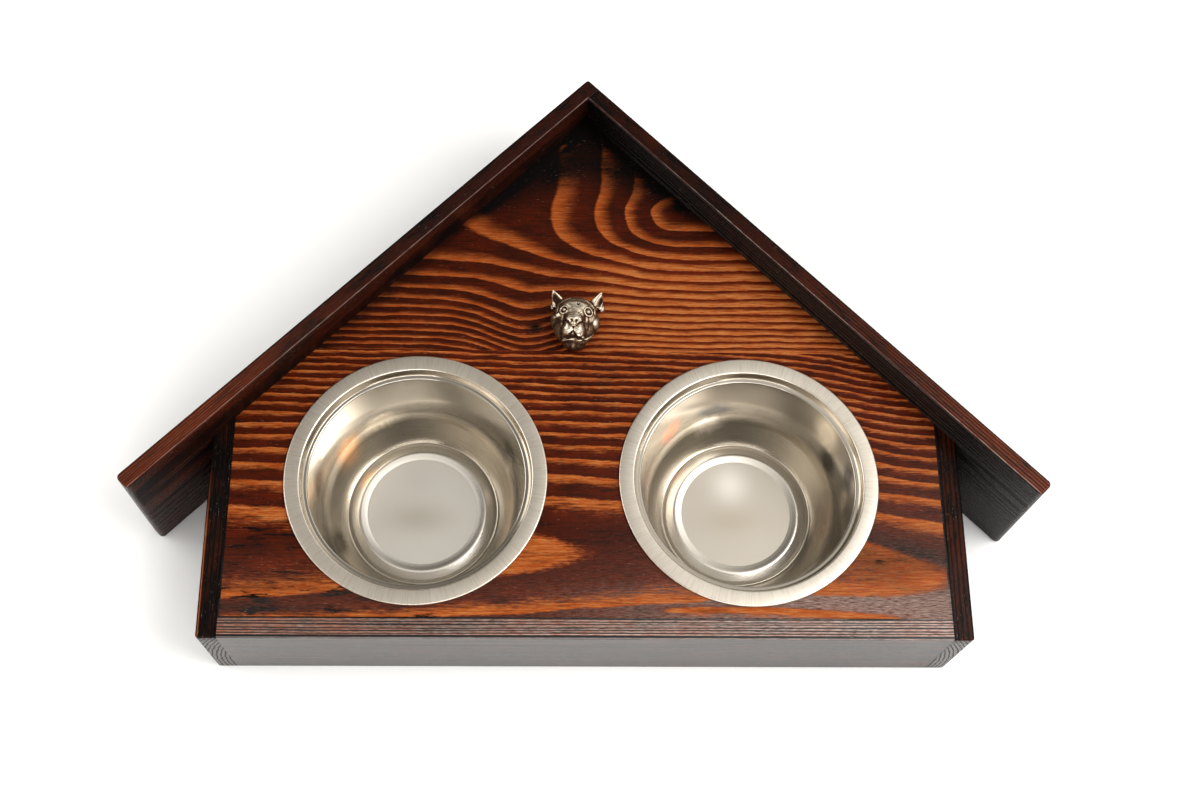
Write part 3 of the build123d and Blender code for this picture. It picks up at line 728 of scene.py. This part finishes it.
gullies = [  # points, half width, depth: carved where positive
    ([(-2.1, -10.0), (-2.1, -12.6)], 0.4, 0.3),  # between the flews
    ([(-9.2, -1.8), (-8.4, -5.0), (-5.6, -8.8), (-2.1, -10.6)], 0.7, 1.3),  # left edge of the nose
    ([(4.9, -1.6), (4.2, -4.8), (1.4, -8.7), (-2.1, -10.6)], 0.7, 1.3),  # right edge of the nose
    ([(-7.6, -1.0), (-2.2, -0.2), (3.4, -1.0)], 0.45, 0.7),  # over the nose
    ([(-6.4, 1.4), (-1.8, 2.0), (2.8, 1.4)], 0.35, 0.4),  # wrinkles between the eyes
    ([(-6.8, 3.0), (-1.8, 3.6), (3.2, 3.0)], 0.35, 0.4),
    ([(-6.4, 4.6), (-1.8, 5.2), (3.0, 4.6)], 0.35, 0.35),
    ([(-5.8, 6.2), (-1.8, 6.8), (2.6, 6.2)], 0.35, 0.3),
    ([(6.0, 4.6), (6.6, 0.0), (6.6, -5.0)], 0.7, 0.3),  # folds under the right eye
    ([(9.4, 3.6), (10.2, -1.0), (9.8, -6.0)], 0.6, 0.25),
    ([(-10.6, 3.4), (-11.0, -1.0), (-10.4, -5.0)], 0.8, 0.9),
    ([(-16.4, 7.0), (-15.6, 12.5), (-12.0, 17.5), (-6.5, 20.0)], 0.7, 0.9),  # brow's outline
    ([(13.6, 8.0), (12.6, 13.5), (9.0, 17.5), (3.5, 20.0)], 0.7, 0.9),
]
ridges = [  # points, half width, height: the lower lip, up to the right cheek
    ([(-10.4, -15.8), (-5.0, -15.4), (2.0, -14.8), (9.0, -13.6), (13.6, -9.0), (17.0, -3.2)], 0.6, 0.9),
]
tarnishAndPaintedLight = [  # place, half widths, darkness: lighter where negative; tarnish and rubbed metal, with painted shade down the left side and painted highlights on the cheekbones
    ((-2.0, 10.0), (9.0, 6.5), -0.35), ((-6.4, 10.4), (3.0, 2.4), -0.25),
    ((-15.5, -5.0), (5.5, 12.0), 0.45), ((-14.6, 13.0), (3.0, 4.0), 0.4),
    ((8.6, -5.0), (3.0, 8.5), 0.2), ((13.0, -7.0), (5.0, 7.0), 0.25),
    ((-1.0, -20.0), (12.0, 4.0), 0.6), ((-1.0, -18.4), (0.9, 1.2), -0.35),
    ((-17.0, 3.8), (2.8, 1.3), -0.8), ((14.6, 2.6), (3.6, 4.6), -0.32),
    ((-5.6, -10.4), (4.0, 3.6), -0.6), ((2.6, -9.4), (4.0, 3.8), -0.65),
    ((-9.0, -12.6), (1.6, 1.8), -0.45), ((5.4, -12.2), (1.6, 1.8), -0.45),
    ((-2.1, -4.6), (5.4, 3.2), -0.65), ((-2.0, 24.0), (12.0, 3.0), 0.35),
    ((-18.6, 19.6), (3.6, 3.0), 0.7), ((-20.6, 22.6), (1.8, 2.6), 0.6), ((19.2, 22.8), (1.8, 4.2), 0.7),
    ((-23.0, 20.4), (2.2, 4.6), 1.3),
    ((-15.4, 23.6), (2.0, 2.0), -0.5), ((-19.6, 25.6), (2.6, 1.2), -0.5), ((13.6, 23.6), (2.4, 3.4), -0.5),
    ((-21.6, 16.2), (1.8, 3.4), -0.7), ((18.6, 18.2), (3.2, 3.4), -0.8),
]
mouth = {
    "x": -2.0, "high": 28.2, "slope": 1.0, "low": 17.2, "half": 8.2, "front": -9.0,
    "depth": 1.8, "edge": 0.8,
}


def clamp(value, low=0.0, high=1.0):
    return max(low, min(high, value))


def fade(distance, width):
    return math.exp(-(distance / width) ** 2)


def nearLine(place, points):  # how far a place is from a broken line
    best = 1e9
    for start, end in zip(points, points[1:]):
        start, run = Vector(start), Vector(end) - Vector(start)
        share = clamp((place - start).dot(run) / run.length_squared)
        best = min(best, (place - start - share * run).length)
    return best


def carving(spot):  # how far the head's skin moves outwards at a spot, mm
    place = Vector(spot[:2])
    rise = sum(height * fade((place - Vector(middle)).length, width) for middle, width, height in lumps)
    rise += sum(
        height * fade((place - Vector(middle)).length - radius, width)
        for middle, radius, width, height in hoops
    )
    rise -= sum(depth * fade(nearLine(place, points), width) for points, width, depth in gullies)
    rise += sum(height * fade(nearLine(place, points), width) for points, width, height in ridges)
    return rise


def inMouth(spot):  # 1 inside the opening, whose upper edge is an inverted V under the flews
    aside = abs(spot.x - mouth["x"])
    under = mouth["high"] - mouth["slope"] * aside - spot.z
    if spot.y > mouth["front"] or aside > mouth["half"] or spot.z < mouth["low"]:
        return 0.0
    return clamp(under / mouth["edge"] + 0.5) * min(1.0, (spot.z - mouth["low"]) / mouth["edge"])


def addForm(bm, centre, sizes):
    made = bmesh.ops.create_icosphere(bm, subdivisions=4, radius=1.0)["verts"]
    bmesh.ops.scale(bm, vec=sizes, verts=made)
    bmesh.ops.translate(bm, vec=centre, verts=made)


def addEar(bm, root, tip):  # a horn, flattened front to back
    root, tip = Vector(root), Vector(tip)
    length = (tip - root).length
    made = bmesh.ops.create_cone(
        bm, cap_ends=True, cap_tris=False, segments=32, radius1=earShape["root"], radius2=earShape["tip"],
        depth=length,
    )["verts"]
    bmesh.ops.translate(bm, vec=(0, 0, length / 2), verts=made)
    bmesh.ops.scale(bm, vec=(1.0, earShape["flat"], 1.0), verts=made)
    turn = (tip - root).to_track_quat("Z", "Y").to_matrix()
    bmesh.ops.rotate(bm, cent=(0, 0, 0), matrix=turn, verts=made)
    bmesh.ops.translate(bm, vec=root, verts=made)


def meltedMesh(bm, voxel):  # the union of overlapping forms as one skin
    mesh = bpy.data.meshes.new("forms")
    bm.to_mesh(mesh)
    bm.free()
    holder = bpy.data.objects.new("forms", mesh)
    bpy.context.scene.collection.objects.link(holder)
    remesh = holder.modifiers.new("skin", "REMESH")
    remesh.mode = "VOXEL"
    remesh.voxel_size = voxel
    whole = bmesh.new()
    whole.from_object(holder, bpy.context.evaluated_depsgraph_get())
    bpy.data.objects.remove(holder)
    bpy.data.meshes.remove(mesh)
    return whole


def hollowEars(bm):  # a cup in the upper face of each ear, towards its outer edge
    for side, (root, tip) in ears.items():
        root, run = Vector(root), Vector(tip) - Vector(root)
        up = run.to_track_quat("Z", "Y") @ Vector((0, 1, 0))
        up = up if up.z > 0 else -up
        out = run.cross(up).normalized()
        out = out if out.x * tip[0] > 0 else -out
        offset, reach = cups[side]
        for vert in bm.verts:
            spot = vert.co - root
            share = spot.dot(run) / run.length_squared
            depth = cupShape["depth"] * (1.0 - share) + cupShape["least"]
            if spot.dot(up) > -1.0 and -0.2 < share < 1.1:
                along = fade(share - cupShape["middle"], cupShape["spread"])
                vert.co -= up * depth * along * fade(spot.dot(out) - offset, reach)


def smoothed(bm, verts, rounds, factor=0.5):
    for _ in range(rounds):
        bmesh.ops.smooth_vert(
            bm, verts=verts, factor=factor, use_axis_x=True, use_axis_y=True, use_axis_z=True,
        )


def makeKnob():
    bm = bmesh.new()
    for centre, sizes in headForms.values():
        addForm(bm, centre, sizes)
    for root, tip in ears.values():
        addEar(bm, root, tip)
    neck, height = knob["neck"]
    made = bmesh.ops.create_cone(
        bm, cap_ends=True, segments=64, radius1=neck, radius2=neck, depth=height * 2,
    )["verts"]
    bmesh.ops.translate(bm, vec=(0, 0, height), verts=made)
    bm = meltedMesh(bm, knob["voxel"])
    hollowEars(bm)
    smoothed(bm, bm.verts, knob["melt"])
    half, crown, back = knob["face"]
    face = [vert for vert in bm.verts if vert.co.y < crown and vert.co.z > back and abs(vert.co.x) < half]
    smoothed(bm, face, knob["faceMelt"])
    bm.normal_update()
    moves = []
    for vert in bm.verts:
        facing = clamp((vert.normal.z + 0.1) / 0.45)
        rough = noise.noise(vert.co * 0.5) * 0.08
        recess = Vector((0.0, mouth["depth"] * inMouth(vert.co), 0.0))
        moves.append(vert.normal * (carving(vert.co) * facing + rough) + recess)
    for vert, move in zip(bm.verts, moves):
        vert.co += move
    smoothed(bm, bm.verts, 1, 0.3)
    base = bmesh.ops.bisect_plane(
        bm, geom=bm.verts[:] + bm.edges[:] + bm.faces[:], plane_co=(0, 0, 0), plane_no=(0, 0, -1),
        clear_outer=True, dist=1e-5,
    )
    rim = [edge for edge in base["geom_cut"] if isinstance(edge, bmesh.types.BMEdge)]
    bmesh.ops.contextual_create(bm, geom=rim)
    patinaAndPaintedShade = hollows(bm)
    place = Vector((knob["x"], knob["y"] - shiftY, boards["panelTop"])) * mm
    turn = Matrix.Rotation(math.radians(knob["turn"]), 3, "Z")
    bmesh.ops.scale(bm, vec=(mm, mm, mm), verts=bm.verts)
    bmesh.ops.rotate(bm, cent=(0, 0, 0), matrix=turn, verts=bm.verts)
    bmesh.ops.translate(bm, vec=place, verts=bm.verts)
    piece = finishPiece(bm, "cast_dog_head", castFinish(), "stand", "dog_head_knob")
    piece.data.attributes.new("patinaAndPaintedShade", "FLOAT", "POINT").data.foreach_set("value", patinaAndPaintedShade)


def hollows(bm):  # for each point, 0 where the casting is bright and 1 where it is dark: patina in the hollows, painted shade on the sides, and the blots of tarnish and painted light
    bm.verts.index_update()
    soft = bm.copy()
    smoothed(soft, soft.verts, knob["soften"])
    bm.normal_update()
    soft.verts.ensure_lookup_table()
    depths = [(soft.verts[vert.index].co - vert.co).dot(vert.normal) for vert in bm.verts]
    soft.free()
    shares = []
    for vert, depth in zip(bm.verts, depths):
        # the sides painted darker: painted shade and the dark wood they reflect
        side = 1.0 - max(0.0, vert.normal.z)
        paint = sum(
            dark * fade(vert.co.x - middle[0], reach[0]) * fade(vert.co.y - middle[1], reach[1])
            for middle, reach, dark in tarnishAndPaintedLight
        )
        ground = clamp(0.48 + side * 0.5 + paint + inMouth(vert.co) * 0.6, 0.05, 0.9)
        shares.append(clamp(ground + depth * 2.4))
    return shares


def castFinish():
    finish = Finish("antiqueCasting")
    patinaAndPaintedShade = finish.attribute("patinaAndPaintedShade")
    place = finish.mapped((0.0, 0.0, 0.0))
    grit = finish.noise(place, (0.9, 0.9, 0.9), 3.0, 0.6)
    cloud = finish.noise(place, (6.0, 6.0, 6.0), 3.0, 0.6)
    height = finish.axes(place)[2]
    # darker towards the panel: patina with a painted contact shadow
    low = height.step(boards["panelTop"] + 15.0, boards["panelTop"] + 2.0)
    tarnishAndPaintedShade = (patinaAndPaintedShade + (grit - 0.5) * 0.5 + (cloud - 0.5) * 0.4 + low * 0.45).share()
    metal = finish.mix(tint("cbbfad"), tint("7c6650"), tarnishAndPaintedShade.step(0.1, 0.6))
    colour = finish.mix(metal, tint("321b0e"), tarnishAndPaintedShade.step(0.45, 0.95))
    rough = 0.34 + tarnishAndPaintedShade * 0.24 + (grit - 0.5) * 0.2
    normal = finish.bump(grit, 0.00012)
    return finish.surface(
        Base_Color=colour, Metallic=1.0 - tarnishAndPaintedShade.step(0.4, 1.0) * 0.9, Roughness=rough, Normal=normal,
        Specular_IOR_Level=0.2,
    )


makeKnob()
